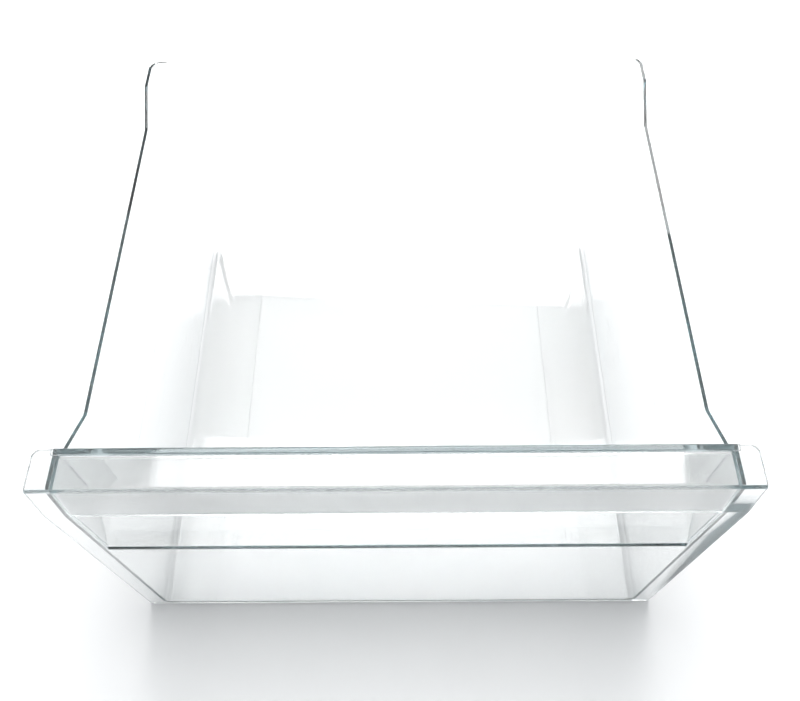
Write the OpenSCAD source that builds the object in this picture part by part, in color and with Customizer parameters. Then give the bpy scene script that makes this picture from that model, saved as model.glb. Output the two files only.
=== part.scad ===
// Clear freezer drawer: an open-fronted tub and a front panel with a full-width grip recess.
// X is the width, Y the depth with the front towards -Y, Z is up. The origin is the middle of the footprint.

/* [Tub] */
// Width over the side walls, at the height of the ledge
tub_w = 430; // [400:1:450]
// Depth from the foot of the front to the edge of the rear flange
tub_d = 410; // [380:1:430]
// Height of the side rims
rim_h = 236; // [226:1:242]
// Height of the raised rear part of the rims
rear_h = 254; // [248:1:262]
// Thickness of the side and back walls
wall = 2.5; // [2:0.1:3]
// Thickness of the floor
floor_t = 2.8; // [2:0.1:3.5]
// Lean of the side walls from the upright, in degrees
side_draft = 1.9; // [1:0.1:3]
// Lean of the back wall from the upright, in degrees
back_draft = 0.9; // [0.5:0.1:2]
// Outer radius of the bottom edges and of the upright rear corners
edge_r = 8; // [5:0.5:12]

/* [Rims] */
// Length of the raised part, from the edge of the rear flange forwards
raised_len = 38; // [30:1:60]
// Length of the slope from the raised part down to the side rim
rear_slope = 34; // [20:1:50]
// Length of the slope from the side rim up to the front panel
front_slope = 41; // [30:1:60]
// Height at which the front slope meets the front panel
slope_top = 258; // [250:1:262]
// Radius of the bends along the rims
rim_bend_r = 7; // [3:1:10]
// Reach of the rear flange beyond the back wall
flange_d = 7; // [4:0.5:10]
// Thickness of the rear flange
flange_t = 2.5; // [2:0.1:3]
// Radius of the rear flange's corners
flange_r = 3; // [1:0.5:3.5]

/* [Runners] */
// Distance of each runner from the middle of the drawer
runner_x = 150; // [100:5:180]
// Width of a runner
runner_w = 4; // [3:0.5:8]
// Height of a runner below the floor
runner_h = 1.2; // [0.8:0.1:2]
// Gap between a runner's ends and the front and back walls
runner_gap = 14; // [8:1:40]
// Width of the flat left between the two rounded corners of a runner's end
runner_flat = 0.4; // [0.2:0.1:2]

/* [Front panel] */
// Height of the front, up to the top of its rear bead
front_h = 270; // [268:0.5:280]
// Thickness of the front panel
panel_t = 3; // [2.5:0.1:3.5]
// Forward lean of the front plate, in degrees
lean = 2; // [0.5:0.1:3]
// Width of the wings and ears that stand out beside the tub
wing_w = 12.5; // [8:0.5:18]
// Radius of the wings' lower corners
foot_r = 4; // [1:0.5:6]
// Thickness of the cheeks that close the ends of the recess
cheek_t = 2; // [1.5:0.1:2.5]
// Clearance between the cheeks and the side walls of the tub
seat_gap = 0.2; // [0.1:0.05:0.4]

/* [Grip recess] */
// Height of the fold at the lower edge of the grip opening
fold_z = 161; // [140:1:175]
// Distance that the back of the recess stands behind the front plate
recess_d = 25.7; // [20:0.1:30]
// Slope of the scoop at the fold, from the upright, in degrees
scoop_angle = 38; // [32:1:45]
// Radius of the scoop's curve
scoop_r = 100; // [60:5:105]
// Height of the lip
lip_h = 35; // [25:1:42]
// Distance that the top of the lip stands behind its foot
lip_back = 2.6; // [0:0.1:4]
// Width of the bead along the rear of the ledge
bead_w = 4.6; // [3.5:0.1:6]
// Rise of the bead above the ledge
bead_h = 1.5; // [1:0.1:3]
// Radius of the bead's two top edges
bead_r = 1; // [0.5:0.1:1.5]
// Outer radius along the front edge of the ledge
ledge_r = 3.5; // [3.5:0.1:5]
// Radius of the nose at the lower edge of the grip opening
nose_r = 3; // [1:0.5:5]
// Radius of the ears' rear corners
ear_r = 6; // [3:0.5:8]
// Radius of the fillet where the ledge meets the back of the recess
fillet_r = 4; // [1:0.5:6]

/* [Hidden] */
$fn = 96;
// Length that reaches through the whole drawer
far = 600;
// Overrun of a cut past a face, and the distance at which a wide cut starts outside the drawer
over = 1;
outside = 10;
// A rounding circle or ball is this much too large, so that it crosses the flat faces cleanly
overlap_r = 0.005;

ledge_z = front_h - bead_h;
lip_z = ledge_z - lip_h;
// Front plate: position of its middle plane and of its back face at a height z
function plate_mid(z) = panel_t / 2 / cos(lean) - z * tan(lean);
function plate_back(z) = panel_t / cos(lean) - z * tan(lean);
// Tub: half its outer width, and the position of its back wall's outer face, at a height z
function half_w(z) = tub_w / 2 - (ledge_z - z) * tan(side_draft);
function back_y(z) = tub_d - flange_d - (rear_h - z) * tan(back_draft);
wall_side = wall / cos(side_draft);
wall_back = wall / cos(back_draft);
floor_top = runner_h + floor_t;

// Middle line of the plate, scoop and recess back, from the foot up to the ledge
recess_y = plate_mid(fold_z) + recess_d;
scoop_z = fold_z + recess_d / tan(scoop_angle);
front_line = [[plate_mid(0), 0], [plate_mid(fold_z), fold_z], [recess_y, scoop_z], [recess_y, ledge_z]];
rear_face = recess_y + panel_t / 2;
// Middle line of the plate, lip and ledge, from the foot over the ledge to just past its rear edge
ledge_mid_z = ledge_z - panel_t / 2;
lip_line = [
    [plate_mid(0), 0],
    [plate_mid(lip_z), lip_z],
    [plate_mid(lip_z) + lip_back, ledge_mid_z],
    [rear_face + over, ledge_mid_z]
];
lip_bends = [0, 0, ledge_r - panel_t / 2, 0];
// How far the panel's cheeks and scoop stay inside the tub's outer faces
cheek_inset = wall_side + seat_gap;

// The overall depth runs from the foot of the lip to the edge of the rear flange
front_y = plate_mid(lip_z) - panel_t / 2 * cos(lean);
middle_y = (front_y + tub_d) / 2;

function unit(v) = v / norm(v);
function left_of(v) = [-v[1], v[0]];

// Mitred copy of an open line, moved sideways by d to its left
function moved_line(line, d) = [
    for (i = [0 : len(line) - 1])
        let (a = unit(line[max(i, 1)] - line[max(i, 1) - 1]))
        let (k = min(i, len(line) - 2))
        let (b = unit(line[k + 1] - line[k]))
        let (m = unit(left_of(a) + left_of(b)))
        line[i] + m * d / (m * left_of(a))
];

function reversed(list) = [for (i = [len(list) - 1 : -1 : 0]) list[i]];

// Signed turn at corner v between its neighbours: above 0 is a left turn
function turn(before, v, after) = cross(unit(v - before), unit(after - v));

// Piece between a corner and its rounding arc, reaching past the corner by reach
module corner_piece(before, v, after, r, reach) {
    a = unit(before - v);
    b = unit(after - v);
    half = acos(a * b) / 2;
    centre = v + unit(a + b) * r / sin(half);
    tangent = r / tan(half);
    difference() {
        polygon([v + a * tangent, centre, v + b * tangent, v - unit(a + b) * reach]);
        translate(centre) circle(r + overlap_r);
    }
}

// Outline whose corners, listed anticlockwise, each get their own radius: 0 leaves a corner sharp
module rounded_outline(points, radii) {
    n = len(points);
    rounded = [for (i = [0 : n - 1]) if (radii[i] > 0) i];
    bend = [for (i = [0 : n - 1]) turn(points[(i + n - 1) % n], points[i], points[(i + 1) % n])];
    difference() {
        union() {
            polygon(points);
            for (i = [for (k = rounded) if (bend[k] < 0) k])
                corner_piece(points[(i + n - 1) % n], points[i], points[(i + 1) % n], radii[i], over / 2);
        }
        for (i = [for (k = rounded) if (bend[k] > 0) k])
            corner_piece(points[(i + n - 1) % n], points[i], points[(i + 1) % n], radii[i], over);
    }
}

// Section of a bent sheet of thickness t along a middle line, with the bends' middle radii: 0 is a sharp bend
module sheet_section(line, bends, t) {
    last = len(line) - 1;
    left = moved_line(line, t / 2);
    right = moved_line(line, -t / 2);
    side = [for (i = [0 : last]) (i == 0 || i == last) ? 0 : turn(line[i - 1], line[i], line[i + 1])];
    left_r = [for (i = [0 : last]) bends[i] == 0 ? 0 : bends[i] - sign(side[i]) * t / 2];
    right_r = [for (i = [0 : last]) bends[i] == 0 ? 0 : bends[i] + sign(side[i]) * t / 2];
    rounded_outline(concat(right, reversed(left)), concat(right_r, reversed(left_r)));
}

// Extrudes a section drawn in Y and Z along the whole width
module along_x(width = far) {
    rotate([90, 0, 90]) linear_extrude(width, center = true) children();
}

// Extrudes a section drawn in X and Z from y = start backwards
module along_y(start = -far / 2, depth = 2 * far) {
    translate([0, start + depth, 0]) rotate([90, 0, 0]) linear_extrude(depth) children();
}

// Section in X and Z between the leaning side planes, out by grow from the tub's outer faces
module between_sides(z_low, z_high, grow, r = 0) {
    low = half_w(z_low) + grow;
    high = half_w(z_high) + grow;
    rounded_outline([[-low, z_low], [low, z_low], [high, z_high], [-high, z_high]], [r, r, 0, 0]);
}

// Waste beside an upright edge of radius r that leans inwards to the foot: its corner is at z = 0 over the origin
module upright_waste(r, lean_side, lean_back) {
    rotate([-lean_back, lean_side, 0])
        translate([0, 0, -outside])
            linear_extrude(far)
                difference() {
                    translate([-r, -r]) square(r + outside);
                    translate([-r, -r]) circle(r + overlap_r);
                }
}

// Waste outside the ball of radius r that joins the bottom edges to an upright one, with the ball at the origin
module ball_waste(r) {
    size = r + outside;
    difference() {
        intersection() {
            translate([0, 0, -size]) cube([size, size, 2 * size]);
            rotate([-back_draft, side_draft, 0])
                translate([-size, -size, -2 * size]) cube([3 * size, 3 * size, 2 * size]);
        }
        sphere(r + overlap_r);
    }
}

// Waste at the rear corners of a body whose bottom is at z = low and whose walls are in by side_in and back_in
module rear_corner_waste(r, low, side_in, back_in) {
    ball = [
        half_w(low + r) - side_in - r / cos(side_draft),
        back_y(low + r) - back_in - r / cos(back_draft),
        low + r
    ];
    for (side = [0, 1])
        mirror([side, 0, 0]) {
            translate([half_w(0) - side_in, back_y(0) - back_in, 0]) upright_waste(r, side_draft, back_draft);
            translate(ball) ball_waste(r);
        }
}

// Side elevation of the tub, from its floor up to the rims, with the front edge that the panel covers
module tub_elevation() {
    seat = ledge_z - panel_t - seat_gap;
    behind_lip = moved_line(lip_line, -panel_t / 2)[2][0] + seat_gap;
    rounded_outline(
        [
            [plate_back(runner_h), runner_h],
            [back_y(runner_h), runner_h],
            [back_y(rear_h), rear_h],
            [tub_d - raised_len, rear_h],
            [tub_d - raised_len - rear_slope, rim_h],
            [rear_face + front_slope, rim_h],
            [rear_face, slope_top],
            [rear_face, seat],
            [behind_lip, seat],
            [plate_back(lip_z - 1), lip_z - 1]
        ],
        [0, edge_r, 0, rim_bend_r, rim_bend_r, rim_bend_r, 0, 0, max(ledge_r - panel_t, 1), 0]
    );
}

module tub_outside() {
    difference() {
        intersection() {
            along_x() tub_elevation();
            along_y() between_sides(runner_h, front_h, 0, edge_r);
        }
        rear_corner_waste(edge_r, runner_h, 0, 0);
    }
}

module tub_inside() {
    difference() {
        intersection() {
            along_x() rounded_outline(
                [
                    [-far / 2, floor_top],
                    [back_y(floor_top) - wall_back, floor_top],
                    [back_y(front_h) - wall_back, front_h],
                    [-far / 2, front_h]
                ],
                [0, edge_r - wall, 0, 0]
            );
            along_y() between_sides(floor_top, front_h, -wall_side, edge_r - wall);
        }
        rear_corner_waste(edge_r - wall, floor_top, wall_side, wall_back);
    }
}

// Flange that stiffens the raised rear rim, standing out behind the back wall
module rear_flange() {
    start = back_y(rear_h) - edge_r;
    difference() {
        intersection() {
            along_y() between_sides(runner_h, front_h, 0, edge_r);
            translate([-far / 2, start, rear_h - flange_t]) cube([far, tub_d - start, flange_t]);
        }
        for (side = [0, 1])
            mirror([side, 0, 0]) translate([half_w(0), tub_d, 0]) upright_waste(flange_r, side_draft, 0);
    }
}

// One of the two runners that the drawer stands and slides on
module runner() {
    front = plate_back(0) + runner_gap;
    back = back_y(0) - edge_r - runner_gap;
    end_r = (runner_w - runner_flat) / 2;
    linear_extrude(runner_h + floor_t / 2)
        rounded_outline(
            [[-runner_w / 2, front], [runner_w / 2, front], [runner_w / 2, back], [-runner_w / 2, back]],
            [end_r, end_r, end_r, end_r]
        );
}

// Tub: floor, side walls and back wall in one moulding, open at the front
module tub() {
    color([0.84, 0.93, 0.95])
        translate([0, -middle_y, 0]) {
            difference() {
                union() {
                    tub_outside();
                    rear_flange();
                }
                tub_inside();
            }
            for (x = [-runner_x, runner_x])
                translate([x, 0, 0]) runner();
        }
}

// Plan of the ledge with its ears
module ledge_plan() {
    ear_x = half_w(ledge_z) + wing_w;
    front = front_y - over;
    rounded_outline(
        [[-ear_x, front], [ear_x, front], [ear_x, rear_face], [-ear_x, rear_face]],
        [0, 0, ear_r, ear_r]
    );
}

// Plate, lip and ledge, which reach from wing to wing
module front_sheet() {
    intersection() {
        along_x() sheet_section(lip_line, lip_bends, panel_t);
        along_y() between_sides(0, front_h, wing_w, foot_r);
        translate([0, 0, -over]) linear_extrude(far) ledge_plan();
    }
}

// Body behind the lip that the recess is cut from: its rear face is the back of the scoop
module recess_block() {
    rear = moved_line(front_line, -panel_t / 2);
    buried = rear[1] + unit(rear[1] - rear[2]) * panel_t / 2;
    outline = [buried, rear[2], [rear_face, ledge_mid_z], lip_line[2], lip_line[1]];
    intersection() {
        along_x() rounded_outline(outline, [0, scoop_r + panel_t / 2, 0, 0, 0]);
        along_y() between_sides(0, front_h, -cheek_inset);
    }
}

// Room of the recess: behind the lip, over the scoop and out through the plate, from cheek to cheek
module recess_room() {
    face = moved_line(front_line, panel_t / 2);
    lip = moved_line(lip_line, -panel_t / 2);
    mouth = face[1] + unit(face[1] - face[2]) * 2 * over;
    outside_y = front_y - outside;
    intersection() {
        along_x() {
            rounded_outline(
                [
                    mouth,
                    face[2],
                    [face[3][0], lip[3][1]],
                    lip[2],
                    lip[1],
                    [outside_y, lip[1][1]],
                    [outside_y, mouth[1]]
                ],
                [0, scoop_r - panel_t / 2, fillet_r, ledge_r - panel_t, 0, 0, 0]
            );
            corner_piece(face[0], face[1], face[2], nose_r, over);
        }
        along_y() between_sides(-over, front_h + over, -cheek_inset - cheek_t);
    }
}

// Bead that stiffens the rear of the ledge, between the side walls
module ledge_bead() {
    foot_z = ledge_z - panel_t / 2;
    front = rear_face - bead_w;
    along_x(2 * half_w(ledge_z))
        rounded_outline(
            [[front, foot_z], [rear_face, foot_z], [rear_face, front_h], [front, front_h]],
            [0, 0, bead_r, bead_r]
        );
}

// Front panel: plate with wings, scoop, ledge with ears, bead and lip in one moulding
module front_panel() {
    color([0.78, 0.9, 0.93])
        translate([0, -middle_y, 0]) {
            difference() {
                union() {
                    front_sheet();
                    recess_block();
                }
                recess_room();
            }
            ledge_bead();
        }
}

tub();
front_panel();
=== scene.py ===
# %% [markdown]
# A clear freezer drawer. The real one is two mouldings of a glassy plastic, joined for good: a deep tub and a front
# panel with a grip along its whole width. Its walls hardly show. What the eye reads are its edges, so this lesson is
# about edges: how they are rounded, what they are made of and what they stand against.
#
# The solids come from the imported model, in metres and in their final place. It could all be modelled again here, but
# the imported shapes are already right, so they stay, and get rounded edges and a finish.

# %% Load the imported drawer
import math

import bmesh
import bpy
from mathutils import Matrix, Vector


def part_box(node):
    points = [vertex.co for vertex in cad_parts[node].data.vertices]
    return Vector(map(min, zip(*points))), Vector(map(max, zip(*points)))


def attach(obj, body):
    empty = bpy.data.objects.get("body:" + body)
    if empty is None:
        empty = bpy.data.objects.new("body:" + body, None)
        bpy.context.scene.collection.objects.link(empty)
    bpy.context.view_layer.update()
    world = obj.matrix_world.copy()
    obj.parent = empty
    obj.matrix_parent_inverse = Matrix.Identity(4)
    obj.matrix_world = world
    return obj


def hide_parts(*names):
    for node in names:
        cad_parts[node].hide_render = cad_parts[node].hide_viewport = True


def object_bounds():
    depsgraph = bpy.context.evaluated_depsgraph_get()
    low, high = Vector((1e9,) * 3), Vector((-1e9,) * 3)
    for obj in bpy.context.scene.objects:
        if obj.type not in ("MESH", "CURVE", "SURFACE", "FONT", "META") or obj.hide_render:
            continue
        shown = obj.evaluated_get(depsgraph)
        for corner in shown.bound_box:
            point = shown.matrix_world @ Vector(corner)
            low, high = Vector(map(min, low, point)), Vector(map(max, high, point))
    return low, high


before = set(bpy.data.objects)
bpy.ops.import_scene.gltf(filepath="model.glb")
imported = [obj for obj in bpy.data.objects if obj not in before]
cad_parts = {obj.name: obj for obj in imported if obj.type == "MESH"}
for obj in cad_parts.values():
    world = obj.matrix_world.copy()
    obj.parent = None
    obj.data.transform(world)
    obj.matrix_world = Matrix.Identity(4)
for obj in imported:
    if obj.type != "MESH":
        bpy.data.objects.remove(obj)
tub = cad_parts["tub"]
front_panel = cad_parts["front_panel"]
cad_low, cad_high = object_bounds()
MM = 0.001
print("drawer", [round(v / MM, 1) for v in cad_high - cad_low], "mm")

# %% [markdown]
# The camera. The photo looks down into the drawer from in front of it, about 0.5 m above the rim, with a wide phone
# lens. Its place and its turn were fitted to the drawer's corners, so the picture lines up with the photo. A tripod
# would be set the same way: stand, tilt, then the small turn and roll of a hand-held shot.

# %% Camera
EYE = Vector((7.8, -407.9, 754.9)) * MM
LOOK_DOWN = math.radians(58.26)
TURN = math.radians(0.79)
ROLL = math.radians(1.12)
PHOTO_WIDTH = 800
FOCAL_PIXELS = 853.8

lens = bpy.data.cameras.new("photo_lens")
lens.sensor_fit = "HORIZONTAL"
lens.lens = FOCAL_PIXELS / PHOTO_WIDTH * lens.sensor_width
camera = bpy.data.objects.new("photo_camera", lens)
tilt = Matrix.Rotation(math.pi / 2 - LOOK_DOWN, 4, "X")
camera.matrix_world = (
    Matrix.Translation(EYE)
    @ Matrix.Rotation(TURN, 4, "Z")
    @ tilt
    @ Matrix.Rotation(-ROLL, 4, "Z")
)
bpy.context.scene.collection.objects.link(camera)
bpy.context.scene.camera = camera
bpy.context.scene.view_settings.view_transform = "Standard"
print("lens", round(lens.lens, 2), "mm")

# %% [markdown]
# A clear sheet that is seen edge on shows light that has bounced along inside it many times. With few bounces allowed
# those edges turn black, so the light may bounce more often than it does by default.

# %% Let light travel inside the sheets
cycles = bpy.context.scene.cycles
cycles.max_bounces = 52
cycles.glossy_bounces = 44
cycles.transmission_bounces = 24
print("bounces", cycles.max_bounces)

# %% [markdown]
# Shader maths. A material is a graph of nodes, and long graphs are hard to read. Here a socket is wrapped in a small
# class, so that a mask is written as a plain expression, and every operator adds its Math node.

# %% A socket that can be calculated with
class Signal:
    """An output socket, or a number, in the graph that is being built."""

    tree = None

    def __init__(self, socket):
        self.socket = socket

    @classmethod
    def node(cls, kind, settings=None, **inputs):
        """Adds a node, sets its settings, then its sockets. Names use _ for a space; n and a number, such as n0, name
        a socket by number.
        """
        made = cls.tree.nodes.new(kind)
        for name, value in (settings or {}).items():
            setattr(made, name, value)
        for name, value in inputs.items():
            key = int(name[1:]) if name[1:].isdigit() else name.replace("_", " ")
            cls.plug(made.inputs[key], value)
        return made

    @classmethod
    def plug(cls, target, value):
        if isinstance(value, Signal):
            value = value.socket
        if isinstance(value, bpy.types.NodeSocket):
            cls.tree.links.new(value, target)
        else:
            target.default_value = value

    @classmethod
    def math(cls, operation, *values, clamp=False):
        sockets = {f"n{i}": v for i, v in enumerate(values)}
        return cls(cls.node("ShaderNodeMath", {"operation": operation, "use_clamp": clamp}, **sockets).outputs[0])

    def __add__(self, other):
        return Signal.math("ADD", self, other)

    def __sub__(self, other):
        return Signal.math("SUBTRACT", self, other)

    def __rsub__(self, other):
        return Signal.math("SUBTRACT", other, self)

    def __mul__(self, other):
        return Signal.math("MULTIPLY", self, other)

    __radd__ = __add__
    __rmul__ = __mul__


# %% [markdown]
# Where a mark sits on the plastic is a question of place, so most masks below start from the place of a point in the
# drawer. A step that runs softly from 0 to 1 between two places is all that they need.

# %% Places and soft steps
def begin_material(name):
    material = bpy.data.materials.new(name)
    material.use_nodes = True
    Signal.tree = material.node_tree
    Signal.tree.nodes.clear()
    print("material", name)
    return material


def place_on_drawer():
    """The place of the shaded point in metres, as a vector and as its x, y and z."""
    place = Signal(Signal.node("ShaderNodeTexCoord").outputs["Object"])
    parts = Signal.node("ShaderNodeSeparateXYZ", n0=place)
    return place, [Signal(parts.outputs[i]) for i in range(3)]


def white(level):
    return (level, level, level, 1)


def soft_step(value, low, high):
    step = Signal.node("ShaderNodeMapRange", {"interpolation_type": "SMOOTHSTEP"}, n0=value, n1=low, n2=high)
    return Signal(step.outputs[0])


def noise(place, scale, detail, stretch=(1, 1, 1)):
    placed = Signal.node("ShaderNodeMapping", n0=place, Scale=stretch)
    made = Signal.node("ShaderNodeTexNoise", Vector=placed.outputs[0], Scale=scale, Detail=detail)
    return Signal(made.outputs[0])


# %% [markdown]
# The plastic is glassy and almost without colour. Over the 2.5 mm of a wall it takes almost nothing from the light,
# but along the plane of a sheet the light runs through a hand's breadth of it, and what comes out at the edge is teal.
# So the tint isn't painted on the surface: it is an absorption inside the solid, which finds the edges by itself.
#
# A moulded face isn't a mirror. The melt leaves long, very shallow waves, wiping leaves hazy patches, and boxes that
# slide in and out leave fine scratches, most of them along the drawer. The waves go to the normal, the rest to the
# roughness. The frosted band behind the lip is a part of the mould that was blasted instead of polished.

# %% Clear plastic
PLASTIC_IOR = 1.57
TEAL = (0.42, 0.66, 0.70, 1)
POLISHED = 0.012
WAVE_HEIGHT = 0.025 * MM
HAZE = 0.05
HAZE_PATCHES_PER_METRE = 9.0
SCRATCH = 0.12
SCRATCHES_PER_METRE = 90.0
ALONG_THE_DRAWER = (9, 0.35, 9)
WAVES_PER_METRE = 7.0


def worn_surface(place):
    """Roughness and normal of a polished face after some years of use."""
    patches = noise(place, HAZE_PATCHES_PER_METRE, detail=2.0)
    haze = soft_step(patches, 0.52, 0.68)
    fine_lines = noise(place, SCRATCHES_PER_METRE, detail=1.0, stretch=ALONG_THE_DRAWER)
    scratches = soft_step(fine_lines, 0.66, 0.72)
    worn = POLISHED + haze * HAZE + scratches * SCRATCH
    waves = noise(place, WAVES_PER_METRE, detail=0.0)
    bump = Signal.node("ShaderNodeBump", Strength=0.6, Distance=WAVE_HEIGHT, Height=waves)
    return patches, worn, bump.outputs["Normal"]


def clear_plastic(name, tint_per_metre, clearness, frost=None):
    material = begin_material(name)
    place, (x, y, z) = place_on_drawer()
    patches, rough, normal = worn_surface(place)
    cool = (clearness - 0.015, clearness - 0.002, clearness, 1)
    colour = Signal.node("ShaderNodeMix", {"data_type": "RGBA"}, n0=patches, n6=cool, n7=white(clearness))
    if frost:
        rough = Signal.math("MAXIMUM", rough, frost(x, y, z))
    shader = Signal.node(
        "ShaderNodeBsdfPrincipled",
        Base_Color=colour.outputs[2],
        Roughness=rough,
        Normal=normal,
        IOR=PLASTIC_IOR,
        Transmission_Weight=1.0,
    )
    absorption = Signal.node("ShaderNodeVolumeAbsorption", Color=TEAL, Density=tint_per_metre)
    Signal.node("ShaderNodeOutputMaterial", Surface=shader.outputs[0], Volume=absorption.outputs[0])
    return material


# %% [markdown]
# The frosted band lies on the inner side of the grip's lip, between the two cheeks and below the ledge. It keeps the
# fingers from slipping, and it is what makes the lip look like milk glass in the photo.

# %% Frosted band of the lip
LEDGE_UNDERSIDE = 265.0 * MM
LIP_BOTTOM = 234.0 * MM
LIP_BACK = -202.5 * MM
LIP_MIDDLE = -207.6 * MM
LIP_LEAN = 0.078
CHEEK_X = 208.0 * MM
FROST = 0.25


def lip_frost(x, y, z):
    edge = 0.6 * MM
    below = 1 - soft_step(z, LEDGE_UNDERSIDE - edge, LEDGE_UNDERSIDE + edge)
    above = soft_step(z, LIP_BOTTOM - edge, LIP_BOTTOM + edge)
    front = 1 - soft_step(y, LIP_BACK - edge, LIP_BACK + edge)
    inner_side = soft_step(y - (z - LIP_BOTTOM) * LIP_LEAN, LIP_MIDDLE - edge, LIP_MIDDLE + edge)
    between = 1 - soft_step(Signal.math("ABSOLUTE", x), CHEEK_X - edge, CHEEK_X + edge)
    return below * above * front * inner_side * between * FROST


# The front panel is the thicker moulding and a little less clear than the tub.
tub_plastic = clear_plastic("tub_plastic", tint_per_metre=4.0, clearness=0.985)
front_plastic = clear_plastic("front_plastic", tint_per_metre=5.0, clearness=0.77, frost=lip_frost)

# %% [markdown]
# A moulding has no knife edges. Each solid is copied, its triangles are merged back into whole faces, and every sharp
# edge is rounded by a fraction of a millimetre. That draws the thin bright lines along the rims. The shading normals
# are weighted by area, so the big faces stay flat and only the narrow rounds turn. The very short edges along tight
# curves are left out, because a round that is as wide as its edge folds over itself.

# %% Round the edges of a moulding
EDGE_RADIUS = 0.2 * MM
SAME_POINT = 0.002 * MM
TINY_EDGE = 0.05 * MM
SHORTEST_ROUNDED = 1.1 * MM
SHARP_ANGLE = math.radians(35)


def rounded_copy(node, name, material, flat_degrees):
    shape = bmesh.new()
    shape.from_mesh(node.data)
    bmesh.ops.remove_doubles(shape, verts=shape.verts, dist=SAME_POINT)
    bmesh.ops.dissolve_limit(shape, angle_limit=math.radians(flat_degrees), verts=shape.verts, edges=shape.edges)
    bmesh.ops.dissolve_degenerate(shape, dist=TINY_EDGE, edges=shape.edges)
    long_edges = [edge for edge in shape.edges if edge.calc_length() > SHORTEST_ROUNDED]
    sharp = [edge for edge in long_edges if edge.calc_face_angle(0) > SHARP_ANGLE]
    bmesh.ops.bevel(
        shape,
        geom=sharp,
        offset=EDGE_RADIUS,
        offset_type="OFFSET",
        segments=2,
        profile=0.5,
        affect="EDGES",
        clamp_overlap=False,
        loop_slide=True,
    )
    # No vertex leaves the solid's own box.
    low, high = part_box(node.name)
    for vert in shape.verts:
        vert.co = [min(max(at, least), most) for at, least, most in zip(vert.co, low, high)]
    for face in shape.faces:
        face.smooth = True
    for edge in shape.edges:
        edge.smooth = edge.calc_face_angle(0) < SHARP_ANGLE
    mesh = bpy.data.meshes.new(name)
    shape.to_mesh(mesh)
    open_edges = sum(not edge.is_manifold for edge in shape.edges)
    print(name, len(mesh.polygons), "faces,", open_edges, "open edges,", round(shape.calc_volume() * 1e6, 1), "cm3")
    shape.free()
    mesh.materials.append(material)
    piece = bpy.data.objects.new(name, mesh)
    bpy.context.scene.collection.objects.link(piece)
    shading = piece.modifiers.new("shading", "WEIGHTED_NORMAL")
    shading.mode = "FACE_AREA"
    shading.weight = 100
    shading.keep_sharp = True
    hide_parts(node.name)
    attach(piece, "root")


# A face that runs round the grip opening mustn't close on itself, so the front panel is merged more carefully.
rounded_copy(tub, "clear_tub", tub_plastic, flat_degrees=0.1)
rounded_copy(front_panel, "clear_front_panel", front_plastic, flat_degrees=0.02)

# %% [markdown]
# The floor is a plain white table top that fills the view. What the camera sees of it, directly or through the
# plastic, is a little whiter than what lights the drawer, which is how a bright product photo is exposed.

# %% Floor
FLOOR_SIDE = 6.0
UNDER_THE_RUNNERS = 0.1 * MM
REAL_WHITE = 0.8
SEEN_WHITE = 1.1
SEEN_THROUGH_PLASTIC = 1.24


def ray_is(*kinds):
    """1 where the ray is one of these kinds, such as Camera, and 0 elsewhere."""
    path = Signal.node("ShaderNodeLightPath")
    answer = Signal(path.outputs[f"Is {kinds[0]} Ray"])
    for kind in kinds[1:]:
        answer = Signal.math("MAXIMUM", answer, path.outputs[f"Is {kind} Ray"])
    return answer


def white_table():
    material = begin_material("white_table")
    plain = Signal.node("ShaderNodeBsdfDiffuse", Color=white(REAL_WHITE))
    seen = Signal.node("ShaderNodeBsdfDiffuse", Color=white(SEEN_WHITE))
    through = Signal.node("ShaderNodeBsdfDiffuse", Color=white(SEEN_THROUGH_PLASTIC))
    looked_at = Signal.node("ShaderNodeMixShader", n0=ray_is("Camera"), n1=plain.outputs[0], n2=seen.outputs[0])
    bent = ray_is("Glossy", "Transmission")
    mixed = Signal.node("ShaderNodeMixShader", n0=bent, n1=looked_at.outputs[0], n2=through.outputs[0])
    Signal.node("ShaderNodeOutputMaterial", Surface=mixed.outputs[0])
    return material


half = FLOOR_SIDE / 2
table_mesh = bpy.data.meshes.new("table_top")
table_mesh.from_pydata([(-half, -half, 0), (half, -half, 0), (half, half, 0), (-half, half, 0)], [], [(0, 1, 2, 3)])
table_mesh.materials.append(white_table())
table = bpy.data.objects.new("table_top", table_mesh)
bpy.context.scene.collection.objects.link(table)
table.location.z = cad_low.z - UNDER_THE_RUNNERS
print("table top", FLOOR_SIDE, "m wide")

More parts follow.
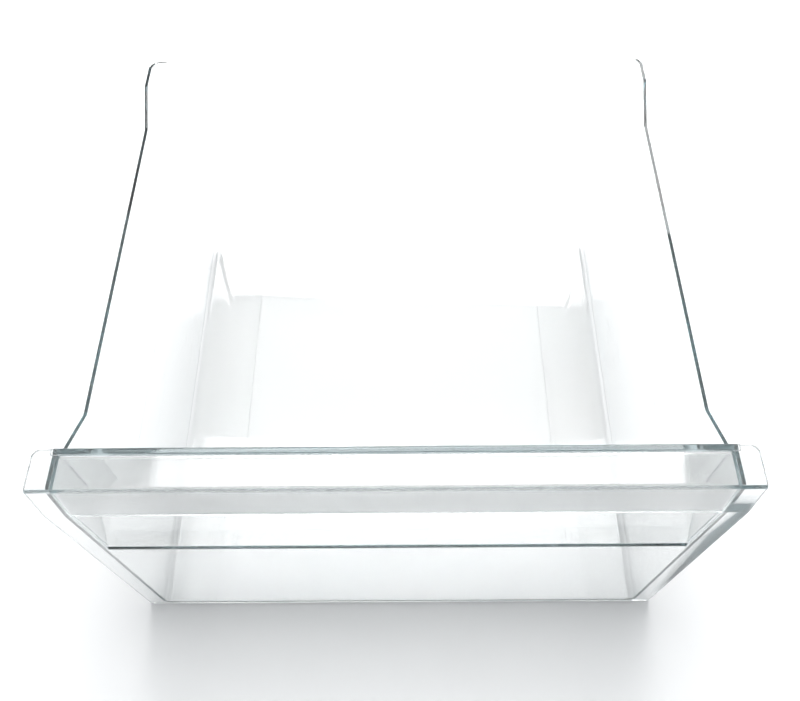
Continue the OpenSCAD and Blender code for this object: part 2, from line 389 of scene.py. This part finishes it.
# %% [markdown]
# The light. The room is white above and grey along its horizon, and that grey is what the edges of the clear sheets
# show: against white alone they would vanish. The drawer's shadow falls towards the viewer, so the main light is a
# wide window behind the drawer and above it, and a second one overhead fills the inside. Both are wide and dim,
# because a small bright lamp seen through the plastic would speckle.

# %% Room and window
ROOM_LIGHT = 0.42
ROOM_TINT = (0.93, 0.97, 1.0, 1)
HORIZON_GREY = (0.2, 0.225, 0.23, 1)
BRIGHTER_BEHIND = 0.2
world = bpy.data.worlds.new("white_room")
bpy.context.scene.world = world
world.use_nodes = True
Signal.tree = world.node_tree
Signal.tree.nodes.clear()
room = Signal.node("ShaderNodeBackground", Color=ROOM_TINT, Strength=ROOM_LIGHT)
towards = Signal.node("ShaderNodeSeparateXYZ", n0=Signal.node("ShaderNodeTexCoord").outputs["Generated"])
height = soft_step(Signal(towards.outputs[2]) + Signal(towards.outputs[1]) * BRIGHTER_BEHIND, 0.0, 0.55)
walls = Signal.node("ShaderNodeMix", {"data_type": "RGBA"}, n0=height, n6=HORIZON_GREY, n7=white(1))
seen_room = Signal.node("ShaderNodeBackground", Color=walls.outputs[2], Strength=1.0)
mixed = Signal.node(
    "ShaderNodeMixShader", n0=ray_is("Camera", "Glossy", "Transmission"), n1=room.outputs[0], n2=seen_room.outputs[0]
)
Signal.node("ShaderNodeOutputWorld", Surface=mixed.outputs[0])


def lamp(name, place, aim, size, power, colour=(1, 1, 1)):
    light = bpy.data.lights.new(name, "AREA")
    light.shape = "RECTANGLE"
    light.size, light.size_y = size
    light.energy = power
    light.color = colour
    made = bpy.data.objects.new(name, light)
    made.location = place
    made.rotation_mode = "QUATERNION"
    made.rotation_quaternion = (Vector(aim) - Vector(place)).to_track_quat("-Z", "Y")
    bpy.context.scene.collection.objects.link(made)
    print("lamp", name, power, "W")


lamp("window", (0.1, 1.9, 1.7), (0, 0, 0.1), (1.8, 1.0), 30)
lamp("overhead", (0.02, 0.35, 2.2), (0, 0.05, 0), (1.6, 1.2), 30)
